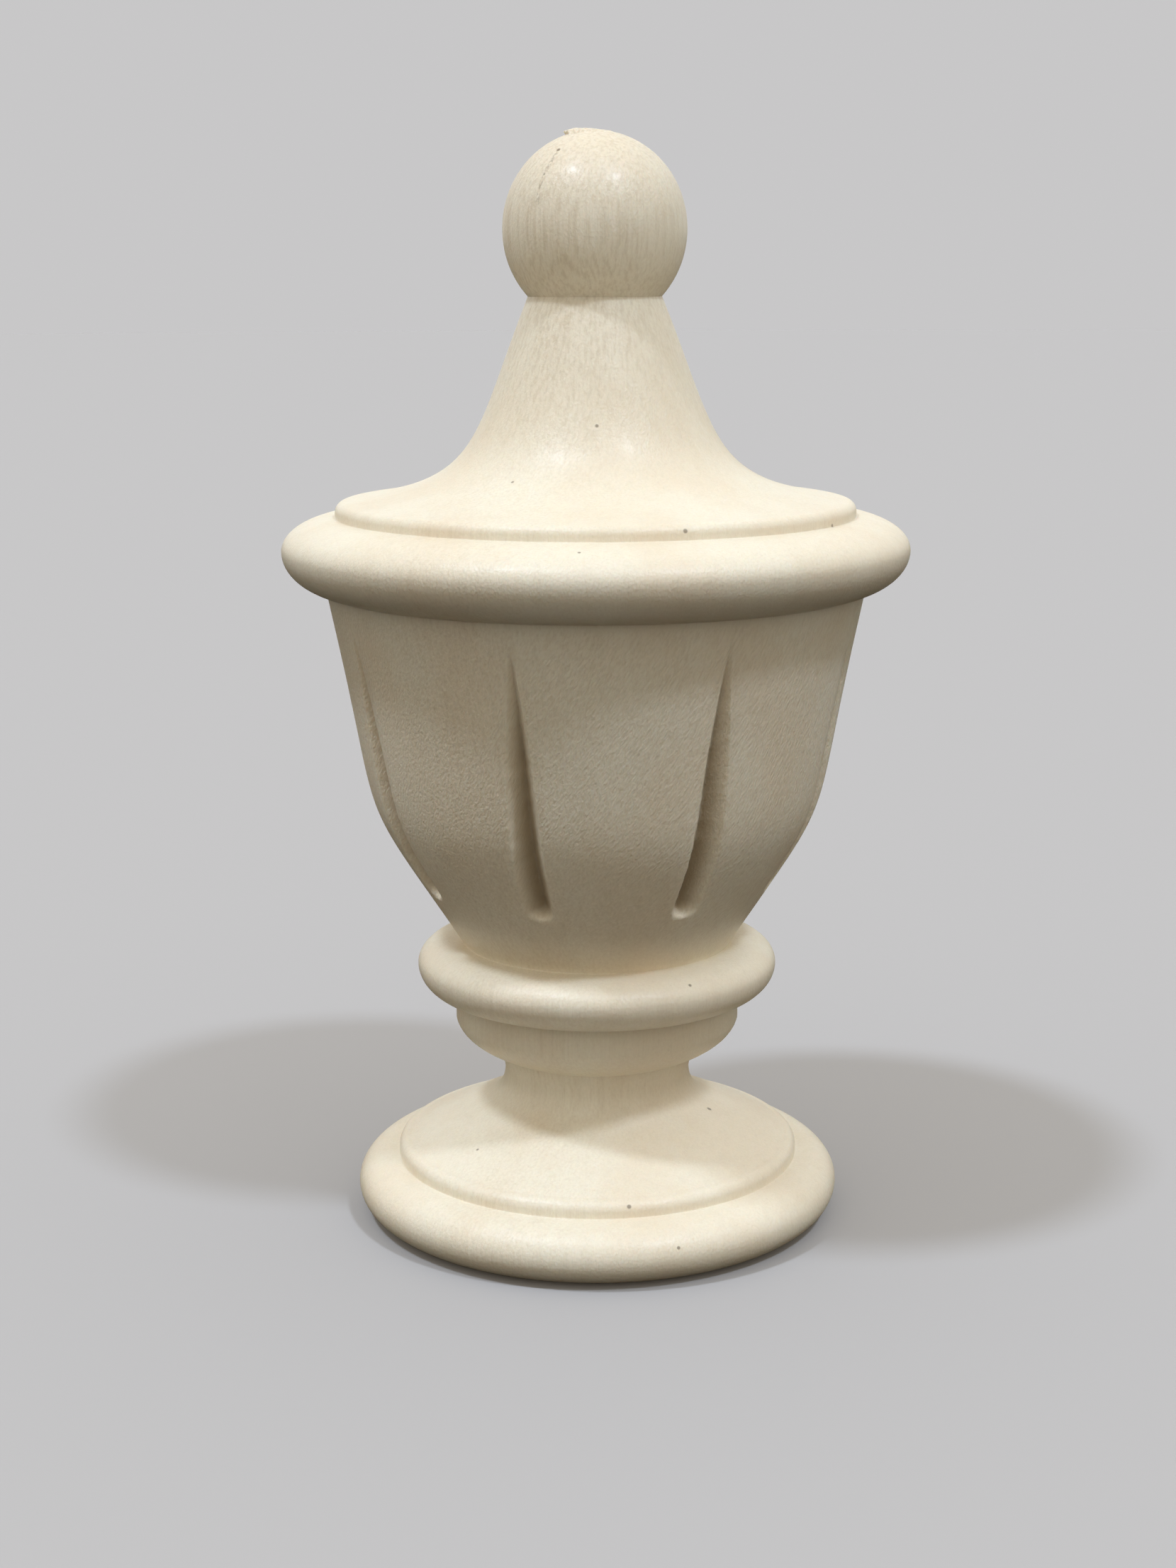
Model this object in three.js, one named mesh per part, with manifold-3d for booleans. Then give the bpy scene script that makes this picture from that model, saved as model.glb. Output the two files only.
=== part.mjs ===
// A turned wooden urn finial: one piece of pale, bare hardwood with its grain upright.
// It stands on its flat underside. Lengths are in millimetres, +Z is up, and the origin
// is at the centre of the underside. The profile is built from the floor upwards, so
// each height below stacks on the one before it.
import * as THREE from "three";
import { mergeVertices } from "three/addons/utils/BufferGeometryUtils.js";
import Module from "manifold-3d";

// Base: a half-round bead, a thin disc edge and a slope that runs up to the stem
const BASE_DIAMETER = 52;
const BASE_BEAD_HEIGHT = 6.2;
const BASE_BEAD_DEPTH = 3.9;
const BASE_BEAD_STEP = 4.4;
const BASE_BEAD_WIDEST = 0.5;
const DISC_EDGE_HEIGHT = 1.75;
const DISC_EDGE_ROUND = 1.2;
const SLOPE_RISE = 3.6;
const COVE_REACH = 2.85;
const COVE_RISE = 4.0;

// Stem, the quarter round over it and the step under the ring
const STEM_DIAMETER = 19.9;
const STEM_FLARE = 0.35;
const STEM_HEIGHT = 1.9;
const QUARTER_ROUND_HEIGHT = 3.8;
const STEP_HEIGHT = 3.05;

// Ring at the foot of the bowl
const RING_DIAMETER = 38.4;
const RING_HEIGHT = 5.5;
const RING_DEPTH = 3.5;
const RING_STEP_BELOW = 4.0;
const RING_STEP_ABOVE = 4.85;
const RING_WIDEST = 0.56;

// Bowl
const BOWL_HEIGHT = 37.65;
const BOWL_TOP_LEAN_DEG = 11.9;
const BOWL_FOOT_LEAN_DEG = 32.7;

// Rim, the widest bead
const RIM_DIAMETER = 65;
const RIM_HEIGHT = 7.75;
const RIM_DEPTH = 6.1;
const RIM_STEP_BELOW = 4.55;
const RIM_STEP_ABOVE = 5.6;
const RIM_WIDEST = 0.56;

// Lid, turned in the same piece, with a thin upright edge
const LID_EDGE_HEIGHT = 1.55;
const LID_EDGE_ROUND = 1;
const LID_RISE = 20.6;
const LID_EDGE_SLOPE_DEG = 8.2;
const LID_NECK_LEAN_DEG = 22.3;

// Ball, and the stub that is left where the wood was parted off
const NECK_DIAMETER = 13.7;
const BALL_DIAMETER = 18.8;
const BALL_HEIGHT = 19.45;
const STUB_DIAMETER = 5;
const STUB_HEIGHT = 0.6;

// Grooves: cuts of V section that start fine under the rim, deepen downwards and stop short
const GROOVE_COUNT = 8;
const GROOVE_DEPTH = 2.6;
const GROOVE_ANGLE_DEG = 65;
const GROOVE_TOP_GAP = 2;
const GROOVE_FOOT_GAP = 6.6;
const GROOVE_STOP_LENGTH = 2;
const GROOVE_CLEARANCE = 0.5;
const GROOVE_RUN_OUT = 0.1;

// How strongly a curve keeps its end direction, as a share of its height or width
const BOWL_TOP_PULL = 0.72;
const BOWL_FOOT_PULL = 0.5;
const LID_NECK_PULL = 0.72;
const LID_EDGE_PULL = 0.75;
const QUARTER_ROUND_FULLNESS = 0.88;
const QUARTER_ROUND_LIFT = 0.4;

// How finely the round shapes are faceted. An odd number of facets to each groove puts
// the point of the groove in the middle of a facet.
const FACETS_PER_GROOVE = 5;
const BALL_STEPS = 11;
const LID_STEPS = 10;
const RIM_STEPS = 5;
const BOWL_STEPS = 11;
const RING_STEPS = 4;
const QUARTER_ROUND_STEPS = 4;
const COVE_STEPS = 4;
const BASE_STEPS = 4;
const GROOVE_STEPS = 7;

// Radii where the sections meet
const discRadius = BASE_DIAMETER / 2 - BASE_BEAD_STEP;
const stemRadius = STEM_DIAMETER / 2;
const stepRadius = RING_DIAMETER / 2 - RING_STEP_BELOW;
const bowlFootRadius = RING_DIAMETER / 2 - RING_STEP_ABOVE;
const bowlTopRadius = RIM_DIAMETER / 2 - RIM_STEP_BELOW;
const lidRadius = RIM_DIAMETER / 2 - RIM_STEP_ABOVE;
const neckRadius = NECK_DIAMETER / 2;

// Heights where the sections meet, from the underside up
const baseBeadTop = BASE_BEAD_HEIGHT;
const discTop = baseBeadTop + DISC_EDGE_HEIGHT;
const slopeTop = discTop + SLOPE_RISE;
const coveTop = slopeTop + COVE_RISE;
const stemTop = coveTop + STEM_HEIGHT;
const quarterRoundTop = stemTop + QUARTER_ROUND_HEIGHT;
const ringFoot = quarterRoundTop + STEP_HEIGHT;
const bowlFoot = ringFoot + RING_HEIGHT;
const bowlTop = bowlFoot + BOWL_HEIGHT;
const rimTop = bowlTop + RIM_HEIGHT;
const lidEdgeTop = rimTop + LID_EDGE_HEIGHT;
const neckHeight = lidEdgeTop + LID_RISE;

const radians = THREE.MathUtils.degToRad;
const at = (radius, height) => new THREE.Vector2(radius, height);

// Points of a curve, without the first one
function alongCurve(curve, steps) {
  return curve.getPoints(steps).slice(1);
}

// Half-round bead from bottom to top: two quarter ellipses that stand out by depth and
// meet where the bead is widest, at that share of its height, with as many steps below
// that point as above it. Where the section below or above is wider than the start of
// the ellipse, the arc starts or ends on that section's wall.
function bead({ diameter, depth, low, high, widest, radiusBelow, radiusAbove, steps }) {
  const centre = diameter / 2 - depth;
  const middle = low + (high - low) * widest;
  const cut = (radius) => Math.acos(THREE.MathUtils.clamp((radius - centre) / depth, 0, 1));
  const start = cut(radiusBelow);
  const end = cut(radiusAbove);
  const points = [];
  for (let i = -steps; i <= steps; i += 1) {
    const angle = (i / steps) * (i < 0 ? start : end);
    const reach = i < 0 ? middle - low : high - middle;
    points.push(at(centre + depth * Math.cos(angle), middle + reach * Math.sin(angle)));
  }
  return points;
}

// Quarter of a small circle from an upright edge to the surface on top of it
function roundedCorner(radius, height, size, steps) {
  const points = [];
  for (let i = 0; i <= steps; i += 1) {
    const angle = (Math.PI / 2) * (i / steps);
    points.push(at(radius - size + size * Math.cos(angle), height - size + size * Math.sin(angle)));
  }
  return points;
}

// Cove from the slope up into the stem: it leaves along the slope and ends upright
function coveCurve() {
  const foot = at(stemRadius + COVE_REACH, slopeTop);
  const slope = SLOPE_RISE / (discRadius - foot.x);
  const corner = at(stemRadius, slopeTop + slope * COVE_REACH);
  return new THREE.QuadraticBezierCurve(foot, corner, at(stemRadius, coveTop));
}

// Quarter round from the stem out to the step under the ring
function quarterRoundCurve() {
  const from = at(stemRadius + STEM_FLARE, stemTop);
  const to = at(stepRadius, quarterRoundTop);
  const bulge = from.x + (to.x - from.x) * QUARTER_ROUND_FULLNESS;
  const height = from.y + (to.y - from.y) * QUARTER_ROUND_LIFT;
  return new THREE.QuadraticBezierCurve(from, at(bulge, height), to);
}

// Wall of the bowl from the ring up to the rim
function bowlCurve() {
  const footPull = BOWL_HEIGHT * BOWL_FOOT_PULL;
  const topPull = BOWL_HEIGHT * BOWL_TOP_PULL;
  return new THREE.CubicBezierCurve(
    at(bowlFootRadius, bowlFoot),
    at(bowlFootRadius + footPull * Math.tan(radians(BOWL_FOOT_LEAN_DEG)), bowlFoot + footPull),
    at(bowlTopRadius - topPull * Math.tan(radians(BOWL_TOP_LEAN_DEG)), bowlTop - topPull),
    at(bowlTopRadius, bowlTop),
  );
}

// Bell curve of the lid from its edge up to the neck
function lidCurve() {
  const edge = at(lidRadius - LID_EDGE_ROUND, lidEdgeTop);
  const edgePull = (edge.x - neckRadius) * LID_EDGE_PULL;
  const neckPull = LID_RISE * LID_NECK_PULL;
  return new THREE.CubicBezierCurve(
    edge,
    at(edge.x - edgePull, edge.y + edgePull * Math.tan(radians(LID_EDGE_SLOPE_DEG))),
    at(neckRadius + neckPull * Math.tan(radians(LID_NECK_LEAN_DEG)), neckHeight - neckPull),
    at(neckRadius, neckHeight),
  );
}

// Ball from the neck up to the stub: an ellipse that passes through the neck's radius
function ballPoints() {
  const halfWidth = BALL_DIAMETER / 2;
  const halfHeight = BALL_HEIGHT / 2;
  const neckAngle = -Math.acos(neckRadius / halfWidth);
  const stubRadius = STUB_DIAMETER / 2;
  const stubAngle = Math.acos(stubRadius / halfWidth);
  const centre = neckHeight - halfHeight * Math.sin(neckAngle);
  const points = [];
  for (let i = 1; i <= BALL_STEPS; i += 1) {
    const angle = neckAngle + ((stubAngle - neckAngle) * i) / BALL_STEPS;
    points.push(at(halfWidth * Math.cos(angle), centre + halfHeight * Math.sin(angle)));
  }
  const stubTop = centre + halfHeight + STUB_HEIGHT;
  points.push(at(stubRadius, stubTop), at(0, stubTop));
  return points;
}

// The three beads: at the base, at the foot of the bowl and at its rim
const baseBead = {
  diameter: BASE_DIAMETER,
  depth: BASE_BEAD_DEPTH,
  low: 0,
  high: baseBeadTop,
  widest: BASE_BEAD_WIDEST,
  radiusBelow: 0,
  radiusAbove: discRadius,
  steps: BASE_STEPS,
};
const ring = {
  diameter: RING_DIAMETER,
  depth: RING_DEPTH,
  low: ringFoot,
  high: bowlFoot,
  widest: RING_WIDEST,
  radiusBelow: stepRadius,
  radiusAbove: bowlFootRadius,
  steps: RING_STEPS,
};
const rim = {
  diameter: RIM_DIAMETER,
  depth: RIM_DEPTH,
  low: bowlTop,
  high: rimTop,
  widest: RIM_WIDEST,
  radiusBelow: bowlTopRadius,
  radiusAbove: lidRadius,
  steps: RIM_STEPS,
};

// The whole outline, from the centre of the underside to the centre of the stub
function finialProfile() {
  const cornerSteps = 2;
  return [
    at(0, 0),
    ...bead(baseBead),
    at(discRadius, baseBeadTop),
    ...roundedCorner(discRadius, discTop, DISC_EDGE_ROUND, cornerSteps),
    at(stemRadius + COVE_REACH, slopeTop),
    ...alongCurve(coveCurve(), COVE_STEPS),
    at(stemRadius + STEM_FLARE, stemTop),
    ...alongCurve(quarterRoundCurve(), QUARTER_ROUND_STEPS),
    at(stepRadius, ringFoot),
    ...bead(ring),
    ...bowlCurve().getPoints(BOWL_STEPS),
    ...bead(rim),
    at(lidRadius, rimTop),
    ...roundedCorner(lidRadius, lidEdgeTop, LID_EDGE_ROUND, cornerSteps),
    ...alongCurve(lidCurve(), LID_STEPS),
    ...ballPoints(),
  ];
}

// Leaves out points that fall on the one before
function withoutRepeats(points) {
  const closest = 0.05;
  return points.filter((point, i) => i === 0 || point.distanceTo(points[i - 1]) > closest);
}

// Closed solid from a geometry whose surface has no gaps
function solidFrom(wasm, geometry) {
  const bare = geometry.clone();
  bare.deleteAttribute("normal");
  bare.deleteAttribute("uv");
  const sameVertex = 1e-4;
  const merged = mergeVertices(bare, sameVertex);
  const corners = merged.index.array;
  const triangles = [];
  for (let i = 0; i < corners.length; i += 3) {
    const [a, b, c] = corners.slice(i, i + 3);
    if (a !== b && b !== c && c !== a) {
      triangles.push(a, b, c);
    }
  }
  const mesh = new wasm.Mesh({
    numProp: 3,
    vertProperties: new Float32Array(merged.attributes.position.array),
    triVerts: new Uint32Array(triangles),
  });
  return new wasm.Manifold(mesh);
}

// Geometry from a solid
function geometryFrom(solid) {
  const mesh = solid.getMesh();
  const geometry = new THREE.BufferGeometry();
  geometry.setAttribute("position", new THREE.BufferAttribute(new Float32Array(mesh.vertProperties), 3));
  geometry.setIndex(new THREE.BufferAttribute(new Uint32Array(mesh.triVerts), 1));
  geometry.computeVertexNormals();
  return geometry;
}

// Blade that cuts one groove. Each station is a triangle in a level plane: its point
// lies in the wood at the groove's depth, and its two corners lie outside the wall.
// At both ends the point runs out of the wood.
function grooveBlade() {
  const wall = bowlCurve();
  const start = bowlTop - GROOVE_TOP_GAP;
  const end = bowlFoot + GROOVE_FOOT_GAP;
  const full = end + GROOVE_STOP_LENGTH;
  const spread = Math.tan(radians(GROOVE_ANGLE_DEG / 2));
  const stations = [{ height: end, depth: -GROOVE_RUN_OUT }];
  for (let i = GROOVE_STEPS; i >= 0; i -= 1) {
    const share = i / GROOVE_STEPS;
    const height = start + (full - start) * share;
    const depth = (GROOVE_DEPTH + GROOVE_RUN_OUT) * (1 - (1 - share) ** 2) - GROOVE_RUN_OUT;
    stations.push({ height, depth });
  }
  const positions = [];
  for (const { height, depth } of stations) {
    const radius = wallRadiusAt(wall, height);
    const outside = radius + GROOVE_CLEARANCE;
    const halfWidth = (depth + GROOVE_CLEARANCE) * spread;
    positions.push(radius - depth, 0, height, outside, halfWidth, height, outside, -halfWidth, height);
  }
  const indices = [0, 1, 2];
  for (let i = 0; i < stations.length - 1; i += 1) {
    for (let side = 0; side < 3; side += 1) {
      const a = 3 * i + side;
      const b = 3 * i + ((side + 1) % 3);
      indices.push(a, b + 3, b, a, a + 3, b + 3);
    }
  }
  const last = 3 * (stations.length - 1);
  indices.push(last, last + 2, last + 1);
  const geometry = new THREE.BufferGeometry();
  geometry.setAttribute("position", new THREE.Float32BufferAttribute(positions, 3));
  geometry.setIndex(indices);
  return geometry;
}

// Radius of the bowl's wall at a height, found by halving the curve
function wallRadiusAt(wall, height) {
  const halvings = 30;
  let low = 0;
  let high = 1;
  for (let i = 0; i < halvings; i += 1) {
    const middle = (low + high) / 2;
    if (wall.getPoint(middle).y < height) {
      low = middle;
    } else {
      high = middle;
    }
  }
  return wall.getPoint(low).x;
}

// The finial: the turned body less its grooves. A panel between two grooves faces
// each of the axes.
function urnFinial(wasm) {
  const facets = FACETS_PER_GROOVE * GROOVE_COUNT;
  const turned = new THREE.LatheGeometry(withoutRepeats(finialProfile()), facets);
  turned.rotateX(Math.PI / 2);
  const blades = [];
  for (let i = 0; i < GROOVE_COUNT; i += 1) {
    const blade = grooveBlade();
    blade.rotateZ((2 * Math.PI * (i + 0.5)) / GROOVE_COUNT);
    blades.push(solidFrom(wasm, blade));
  }
  const allBlades = blades.reduce((joined, blade) => joined.add(blade));
  return geometryFrom(solidFrom(wasm, turned).subtract(allBlades));
}

const wasm = await Module();
wasm.setup();

const bareWood = new THREE.MeshStandardMaterial({ color: 0xe6dcc3, roughness: 0.62, metalness: 0 });
const finial = new THREE.Mesh(urnFinial(wasm), bareWood);
finial.name = "turned_urn_finial";

const part = new THREE.Group();
part.add(finial);

export default part;
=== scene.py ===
"""A turned wooden urn finial: bare pale hardwood with upright grain, on a plain pale floor.

The finial is one piece of wood. Its outline is turned round the Z axis, eight grooves are cut
into the bowl, and a torn stub is left on the ball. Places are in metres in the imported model's
frame; the sizes are written in millimetres.
"""

import math

import bpy
import numpy as np
from bpy.props import FloatProperty, FloatVectorProperty, IntProperty, PointerProperty
from mathutils import Matrix, Vector


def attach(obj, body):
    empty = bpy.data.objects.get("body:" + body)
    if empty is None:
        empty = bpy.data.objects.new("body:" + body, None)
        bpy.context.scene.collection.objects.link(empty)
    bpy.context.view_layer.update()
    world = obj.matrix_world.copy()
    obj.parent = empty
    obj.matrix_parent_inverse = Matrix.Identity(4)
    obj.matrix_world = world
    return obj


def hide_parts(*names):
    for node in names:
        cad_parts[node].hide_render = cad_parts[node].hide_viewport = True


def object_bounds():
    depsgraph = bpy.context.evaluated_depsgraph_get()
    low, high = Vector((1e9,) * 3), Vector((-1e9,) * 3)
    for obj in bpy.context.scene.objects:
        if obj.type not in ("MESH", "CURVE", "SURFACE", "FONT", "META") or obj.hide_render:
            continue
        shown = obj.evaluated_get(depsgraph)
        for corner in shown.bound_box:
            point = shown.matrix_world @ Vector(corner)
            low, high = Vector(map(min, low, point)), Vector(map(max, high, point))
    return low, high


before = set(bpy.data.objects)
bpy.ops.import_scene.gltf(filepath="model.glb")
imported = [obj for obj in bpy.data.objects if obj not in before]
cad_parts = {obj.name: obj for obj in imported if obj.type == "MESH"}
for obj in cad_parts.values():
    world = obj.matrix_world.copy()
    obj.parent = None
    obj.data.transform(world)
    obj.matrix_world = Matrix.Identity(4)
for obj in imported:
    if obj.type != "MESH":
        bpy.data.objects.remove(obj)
CAD_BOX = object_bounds()

bl_info = {
    "name": "Turned urn finial",
    "version": (1, 0, 0),
    "blender": (4, 5, 0),
    "location": "View3D > Sidebar > Finial",
    "description": "Builds a turned wooden urn finial with a grooved bowl",
    "category": "Add Mesh",
}

CAD_NODE = "turned_urn_finial"
PIECE_NAME = "turned_wood_finial"
SHADE_AND_TEAR_ATTRIBUTE = "cut"
MILLIMETRE = 0.001
BOX_SLACK = 0.2 * MILLIMETRE
CURVE_STEPS = 400


def size(name, millimetres, description):
    """A length with its default in millimetres."""
    return FloatProperty(
        name=name,
        description=description,
        default=millimetres * MILLIMETRE,
        min=0.0,
        precision=5,
        subtype="DISTANCE",
        unit="LENGTH",
    )


def share(name, default, description):
    """A number without a unit."""
    return FloatProperty(name=name, description=description, default=default, precision=3)


def lean(name, degrees, description):
    """An angle with its default in degrees."""
    return FloatProperty(
        name=name, description=description, default=math.radians(degrees), subtype="ANGLE"
    )


def paint(name, default, description):
    """A linear colour."""
    return FloatVectorProperty(
        name=name, description=description, default=default, min=0.0, max=1.0, subtype="COLOR"
    )


class FinialBase(bpy.types.PropertyGroup):
    """Sizes of the base."""

    diameter: size("Diameter", 52, "Width over the half-round bead")
    bead_height: size("Bead height", 6.2, "Height of the half-round bead")
    bead_depth: size("Bead depth", 3.9, "How far the bead stands out")
    bead_step: size("Bead step", 4.4, "From the bead's widest point in to the disc's edge")
    bead_widest: share("Bead widest", 0.5, "Share of its height at which the bead is widest")
    disc_edge: size("Disc edge", 1.75, "Height of the upright edge over the bead")
    disc_round: size("Disc edge round", 1.2, "Radius of the disc's upper corner")
    slope_rise: size("Slope rise", 3.6, "Rise of the slope from the disc's edge to the cove")
    cove_reach: size("Cove reach", 2.85, "Width of the cove where the slope meets the stem")
    cove_rise: size("Cove rise", 4.0, "Height of the cove")


class FinialStem(bpy.types.PropertyGroup):
    """Sizes of the stem and the step over it."""

    diameter: size("Diameter", 19.9, "Width of the stem")
    flare: size("Flare", 0.35, "How much wider the stem is at its top, on each side")
    height: size("Height", 1.9, "Height of the stem's upright part")
    quarter_round: size("Quarter round", 3.8, "Height of the quarter round over the stem")
    fullness: share("Quarter round fullness", 0.88, "Share of the width its curve is pulled out to")
    lift: share("Quarter round lift", 0.4, "Share of the height its curve is pulled up to")
    step: size("Step", 3.05, "Height of the step under the ring")


class FinialRing(bpy.types.PropertyGroup):
    """Sizes of the ring at the foot of the bowl."""

    diameter: size("Diameter", 38.4, "Width over the ring")
    height: size("Height", 5.5, "Height of the ring")
    depth: size("Depth", 3.5, "How far the ring stands out")
    step_below: size("Step below", 4.0, "From the ring's widest point in to the step")
    step_above: size("Step above", 4.85, "From the ring's widest point in to the bowl's foot")
    widest: share("Widest", 0.56, "Share of its height at which the ring is widest")


class FinialBowl(bpy.types.PropertyGroup):
    """Sizes of the bowl."""

    height: size("Height", 37.65, "Height of the bowl's wall")
    top_lean: lean("Top lean", 11.9, "Lean of the wall under the rim")
    foot_lean: lean("Foot lean", 32.7, "Lean of the wall over the ring")
    top_pull: share("Top pull", 0.72, "Share of the height over which the top keeps its lean")
    foot_pull: share("Foot pull", 0.5, "Share of the height over which the foot keeps its lean")


class FinialRim(bpy.types.PropertyGroup):
    """Sizes of the rim, the widest bead."""

    diameter: size("Diameter", 65, "Width over the rim")
    height: size("Height", 7.75, "Height of the rim")
    depth: size("Depth", 6.1, "How far the rim stands out")
    step_below: size("Step below", 4.55, "From the rim's widest point in to the bowl")
    step_above: size("Step above", 5.6, "From the rim's widest point in to the lid's edge")
    widest: share("Widest", 0.56, "Share of its height at which the rim is widest")


class FinialLid(bpy.types.PropertyGroup):
    """Sizes of the bell-shaped lid."""

    edge_height: size("Edge height", 1.55, "Height of the lid's upright edge")
    edge_round: size("Edge round", 1.0, "Radius of the edge's upper corner")
    rise: size("Rise", 20.6, "Height of the bell curve")
    edge_slope: lean("Edge slope", 8.2, "Slope of the bell curve at its edge")
    neck_lean: lean("Neck lean", 22.3, "Lean of the bell curve at the neck")
    neck_pull: share("Neck pull", 0.72, "Share of the rise over which the neck keeps its lean")
    edge_pull: share("Edge pull", 0.75, "Share of the width over which the edge keeps its slope")


class FinialBall(bpy.types.PropertyGroup):
    """Sizes of the ball and of the torn stub on it."""

    neck_diameter: size("Neck diameter", 13.7, "Width of the neck under the ball")
    diameter: size("Diameter", 18.8, "Width of the ball")
    height: size("Height", 19.45, "Height of the ball, as if it were whole")
    stub_diameter: size("Stub diameter", 4.7, "Width of the stub that parting off left")
    stub_height: size("Stub height", 0.6, "Thickness of the stub on its thick side")
    stub_thin: share("Stub thin side", 0.1, "Thickness of its thin side as a share of that")
    stub_tear: size("Stub tear", 0.18, "Depth of the torn fibres")
    stub_edge: size("Stub edge", 0.3, "Width over which the stub's edge rises")
    stub_overhang: size("Stub overhang", 0.4, "How far the thick side's upper edge leans out")
    stub_shift: size("Stub shift", 0.5, "How far the stub lies off the middle")
    stub_side: lean("Stub side", -95, "Direction of its thick side, from the panel that faces -Y")


class FinialGrooves(bpy.types.PropertyGroup):
    """Sizes of the grooves in the bowl."""

    count: IntProperty(name="Count", description="Grooves round the bowl", default=8, min=1)
    depth: size("Depth", 2.6, "Depth where a groove is deepest")
    angle: lean("Angle", 65, "Angle between a groove's two flanks")
    top_gap: size("Top gap", 2.0, "From the rim down to a groove's fine upper end")
    foot_gap: size("Foot gap", 7.8, "From the ring up to the middle of a groove's round end")
    deepest: share("Deepest", 0.8, "Where a groove is deepest, as a share of its length")
    lip_round: size("Lip round", 0.1, "Softness of the groove's lips and bottom")
    lip_tear: size("Lip tear", 0.05, "How far the torn lips wander")


class FinialMesh(bpy.types.PropertyGroup):
    """How finely the surface is divided."""

    panel_columns: IntProperty(name="Panel columns", description="Columns over half a panel", default=8)
    plain_row: size("Plain row", 2.0, "Height of a row on flat, hidden wood")
    row: size("Row", 0.95, "Height of a row on turned wood")
    groove_row: size("Groove row", 0.55, "Height of a row on the grooved bowl")
    end_row: size("End row", 0.3, "Height of a row where the grooves end")
    stub_row: size("Stub row", 0.09, "Height of a row on the torn stub")
    turn: lean("Turn", 11, "Bend of the outline that adds a row")
    softness: size("Corner softness", 0.3, "Width over which a turned corner is rounded")
    unevenness: size("Unevenness", 0.02, "Depth of the waves that hand sanding left")
    seed: IntProperty(name="Seed", description="Seed of the torn fibres and waves", default=7)


class FinialWood(bpy.types.PropertyGroup):
    """Colours and grain of the wood, and the painted shade of the grooves."""

    pale: paint("Pale wood", (0.83, 0.755, 0.60), "Colour of the wood between its growth lines")
    dark: paint("Dark wood", (0.56, 0.45, 0.30), "Colour of growth lines and pores")
    warm: paint("Warm wood", (0.80, 0.695, 0.53), "Colour of the warmer patches")
    speck: paint("Speck", (0.14, 0.10, 0.06), "Colour of the small dark specks")
    # Painted shade: the grooves take this colour by their depth, in place of the shade inside them;
    # torn wood on the stub takes part of it as its own colour
    carved: paint("Carved wood", (0.50, 0.40, 0.27), "Colour at the bottom of the carved grooves")
    torn_tint: share("Torn tint", 0.35, "How far torn wood takes the carved wood's colour")
    ring_width: size("Ring width", 0.62, "Distance between growth lines")
    ring_facing: lean("Ring direction", 56, "Direction across the growth lines, from -Y towards +X")
    ring_zone: size("Ring zone", 6, "Half width of the wood whose growth lines show most")
    pith: size("Pith distance", 160, "Distance from the axis to the centre of the tree")
    fibre_width: size("Fibre width", 0.36, "Width of a bundle of fibres")
    fibre_length: size("Fibre length", 10, "Length of a bundle of fibres")
    pore_width: size("Pore width", 0.15, "Width of a pore")
    pore_length: size("Pore length", 1.1, "Length of a pore")
    fuzz_lean: lean("Fuzz lean", 28, "Lean of the torn fibres on the bowl")
    fuzz_width: size("Fuzz width", 0.24, "Width of a torn fibre")
    fuzz_length: size("Fuzz length", 0.95, "Length of a torn fibre")
    relief: size("Grain relief", 0.04, "Height of the raised grain")
    burnish: share("Burnish", 0.09, "Shine that turning and handling left on the plain mouldings")
    roughness: share("Roughness", 0.42, "Roughness of the sanded wood")


class FinialStage(bpy.types.PropertyGroup):
    """Floor, lights and camera."""

    floor_radius: size("Floor radius", 4000, "Radius of the round floor")
    floor_colour: paint("Floor colour", (0.44, 0.42, 0.405), "Colour of the pale floor")
    air_colour: paint("Air colour", (1.0, 0.965, 0.885), "Colour of the light from all round")
    air_strength: share("Air strength", 0.81, "Strength of the light from all round")
    low_colour: paint("Low colour", (1.0, 0.75, 0.45), "Colour of the faint light from below")
    low_strength: share("Low strength", 0.03, "Strength of the faint light from below")
    lamp_colour: paint("Lamp colour", (0.71, 0.82, 1.0), "Colour of both lamps")
    lamp_spread: lean("Lamp spread", 6, "Width of each lamp as the finial sees it")
    left_strength: share("Left lamp strength", 1.36, "Strength of the left lamp")
    left_turn: lean("Left lamp turn", -59, "Direction of the left lamp, from the camera's")
    left_rise: lean("Left lamp rise", 64.5, "Height of the left lamp over the floor")
    right_strength: share("Right lamp strength", 1.18, "Strength of the right lamp")
    right_turn: lean("Right lamp turn", 43, "Direction of the right lamp, from the camera's")
    right_rise: lean("Right lamp rise", 58, "Height of the right lamp over the floor")
    camera_distance: size("Camera distance", 250.74, "From the axis to the camera, level")
    camera_height: size("Camera height", 99.85, "Height of the camera over the floor")
    camera_side: lean("Camera side", -5.3, "Direction to the camera, from -Y towards +X")
    camera_heading: lean("Camera heading", 0.201, "How far the camera looks past the axis")
    camera_pitch: lean("Camera pitch", 11.998, "How far the camera looks down")
    camera_roll: lean("Camera roll", -0.195, "Roll of the camera")
    camera_lens: share("Camera lens", 55.4, "Lens length in millimetres on a 36 mm sensor")


class FinialSettings(bpy.types.PropertyGroup):
    """All settings of the finial and its stage."""

    base: PointerProperty(type=FinialBase)
    stem: PointerProperty(type=FinialStem)
    ring: PointerProperty(type=FinialRing)
    bowl: PointerProperty(type=FinialBowl)
    rim: PointerProperty(type=FinialRim)
    lid: PointerProperty(type=FinialLid)
    ball: PointerProperty(type=FinialBall)
    grooves: PointerProperty(type=FinialGrooves)
    mesh: PointerProperty(type=FinialMesh)
    wood: PointerProperty(type=FinialWood)
    stage: PointerProperty(type=FinialStage)


def segment(start, end):
    """Straight line: both ends as (radius, height)."""
    return np.array([start, end], float)


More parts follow.
